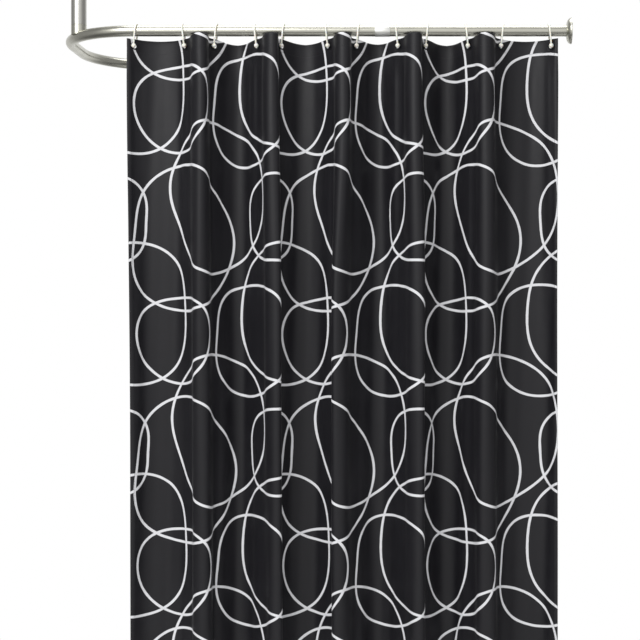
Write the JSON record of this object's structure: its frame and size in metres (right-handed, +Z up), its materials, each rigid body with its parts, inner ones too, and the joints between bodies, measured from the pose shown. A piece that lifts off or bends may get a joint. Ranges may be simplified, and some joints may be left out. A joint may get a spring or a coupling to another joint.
{
  "type": "shower curtain",
  "caption": "Black printed polyester shower curtain on C-shaped snap hooks, gathered in folds along one arm of a U-shaped tube rail with wall flanges and a ceiling post.",
  "frame": {"origin": "centre of the near arm's wall plate, on the wall face and on the tube's axis", "axes": "+X out of the wall plate into the wall, +Y from the curtained arm to the other arm, +Z up"},
  "size_m": [1.5147, 0.7004, 2.224],
  "materials": {
    "rail_chrome": "polished",
    "band_chrome": "polished",
    "zinc_steel": "satin",
    "curtain_cloth": "satin",
    "hem_cloth": "satin",
    "hook_plastic": "gloss",
    "eyelet_plastic": "satin"
  },
  "bodies": {
    "rail": {"rail_front": "rail_chrome", "rail_bend": "rail_chrome", "rail_back": "rail_chrome", "post": "rail_chrome", "saddle": "rail_chrome", "cover_front": "rail_chrome", "cover_back": "rail_chrome", "cover_ceiling": "rail_chrome", "coupler_band_front": "band_chrome", "coupler_band_back": "band_chrome", "coupler_spigot_front": "zinc_steel", "coupler_spigot_back": "zinc_steel", "coupler_grub_front": "zinc_steel", "coupler_grub_back": "zinc_steel", "grub_front": "zinc_steel", "grub_back": "zinc_steel", "grub_ceiling": "zinc_steel", "plate_front": "zinc_steel", "plate_back": "zinc_steel", "plate_ceiling": "zinc_steel", "saddle_stud": "zinc_steel", "screw_front_1": "zinc_steel", "screw_front_2": "zinc_steel", "screw_front_3": "zinc_steel", "screw_back_1": "zinc_steel", "screw_back_2": "zinc_steel", "screw_back_3": "zinc_steel", "screw_ceiling_1": "zinc_steel", "screw_ceiling_2": "zinc_steel", "screw_ceiling_3": "zinc_steel"},
    "curtain": {"curtain_panel": "curtain_cloth", "curtain_heading": "hem_cloth", "curtain_bottom_hem": "hem_cloth", "curtain_left_hem": "hem_cloth", "curtain_right_hem": "hem_cloth", "hook_12": "hook_plastic", "eyelet_12": "eyelet_plastic"},
    "hook_01": {"hook_01": "hook_plastic", "eyelet_01": "eyelet_plastic"},
    "hook_02": {"hook_02": "hook_plastic", "eyelet_02": "eyelet_plastic"},
    "hook_03": {"hook_03": "hook_plastic", "eyelet_03": "eyelet_plastic"},
    "hook_04": {"hook_04": "hook_plastic", "eyelet_04": "eyelet_plastic"},
    "hook_05": {"hook_05": "hook_plastic", "eyelet_05": "eyelet_plastic"},
    "hook_06": {"hook_06": "hook_plastic", "eyelet_06": "eyelet_plastic"},
    "hook_07": {"hook_07": "hook_plastic", "eyelet_07": "eyelet_plastic"},
    "hook_08": {"hook_08": "hook_plastic", "eyelet_08": "eyelet_plastic"},
    "hook_09": {"hook_09": "hook_plastic", "eyelet_09": "eyelet_plastic"},
    "hook_10": {"hook_10": "hook_plastic", "eyelet_10": "eyelet_plastic"},
    "hook_11": {"hook_11": "hook_plastic", "eyelet_11": "eyelet_plastic"}
  },
  "joints": [
    {"name": "curtain_swing", "type": "hinge", "parent": "rail", "child": "curtain", "pos_m": [-0.06, 0, 0], "axis": [1, 0, 0], "range_deg": [-12, 12]},
    {"name": "draw_hook_01", "type": "slide", "parent": "curtain", "child": "hook_01", "axis": [1, 0, 0], "range_m": [0, 0.84], "deforming": ["curtain_panel", "curtain_heading", "curtain_bottom_hem", "curtain_left_hem", "curtain_right_hem"]},
    {"name": "draw_hook_02", "type": "slide", "parent": "curtain", "child": "hook_02", "axis": [1, 0, 0], "range_m": [0, 0.7392]},
    {"name": "draw_hook_03", "type": "slide", "parent": "curtain", "child": "hook_03", "axis": [1, 0, 0], "range_m": [0, 0.6786]},
    {"name": "draw_hook_04", "type": "slide", "parent": "curtain", "child": "hook_04", "axis": [1, 0, 0], "range_m": [0, 0.5939]},
    {"name": "draw_hook_05", "type": "slide", "parent": "curtain", "child": "hook_05", "axis": [1, 0, 0], "range_m": [0, 0.5434]},
    {"name": "draw_hook_06", "type": "slide", "parent": "curtain", "child": "hook_06", "axis": [1, 0, 0], "range_m": [0, 0.4506]},
    {"name": "draw_hook_07", "type": "slide", "parent": "curtain", "child": "hook_07", "axis": [1, 0, 0], "range_m": [0, 0.3921]},
    {"name": "draw_hook_08", "type": "slide", "parent": "curtain", "child": "hook_08", "axis": [1, 0, 0], "range_m": [0, 0.3094]},
    {"name": "draw_hook_09", "type": "slide", "parent": "curtain", "child": "hook_09", "axis": [1, 0, 0], "range_m": [0, 0.2528]},
    {"name": "draw_hook_10", "type": "slide", "parent": "curtain", "child": "hook_10", "axis": [1, 0, 0], "range_m": [0, 0.1681]},
    {"name": "draw_hook_11", "type": "slide", "parent": "curtain", "child": "hook_11", "axis": [1, 0, 0], "range_m": [0, 0.1014]}
  ],
  "couplings": [
    {"joint": "draw_hook_02", "follows": "draw_hook_01", "ratio": 0.87937},
    {"joint": "draw_hook_03", "follows": "draw_hook_01", "ratio": 0.80724},
    {"joint": "draw_hook_04", "follows": "draw_hook_01", "ratio": 0.70639},
    {"joint": "draw_hook_05", "follows": "draw_hook_01", "ratio": 0.64627},
    {"joint": "draw_hook_06", "follows": "draw_hook_01", "ratio": 0.5358},
    {"joint": "draw_hook_07", "follows": "draw_hook_01", "ratio": 0.46619},
    {"joint": "draw_hook_08", "follows": "draw_hook_01", "ratio": 0.36769},
    {"joint": "draw_hook_09", "follows": "draw_hook_01", "ratio": 0.30033},
    {"joint": "draw_hook_10", "follows": "draw_hook_01", "ratio": 0.19947},
    {"joint": "draw_hook_11", "follows": "draw_hook_01", "ratio": 0.1201}
  ]
}
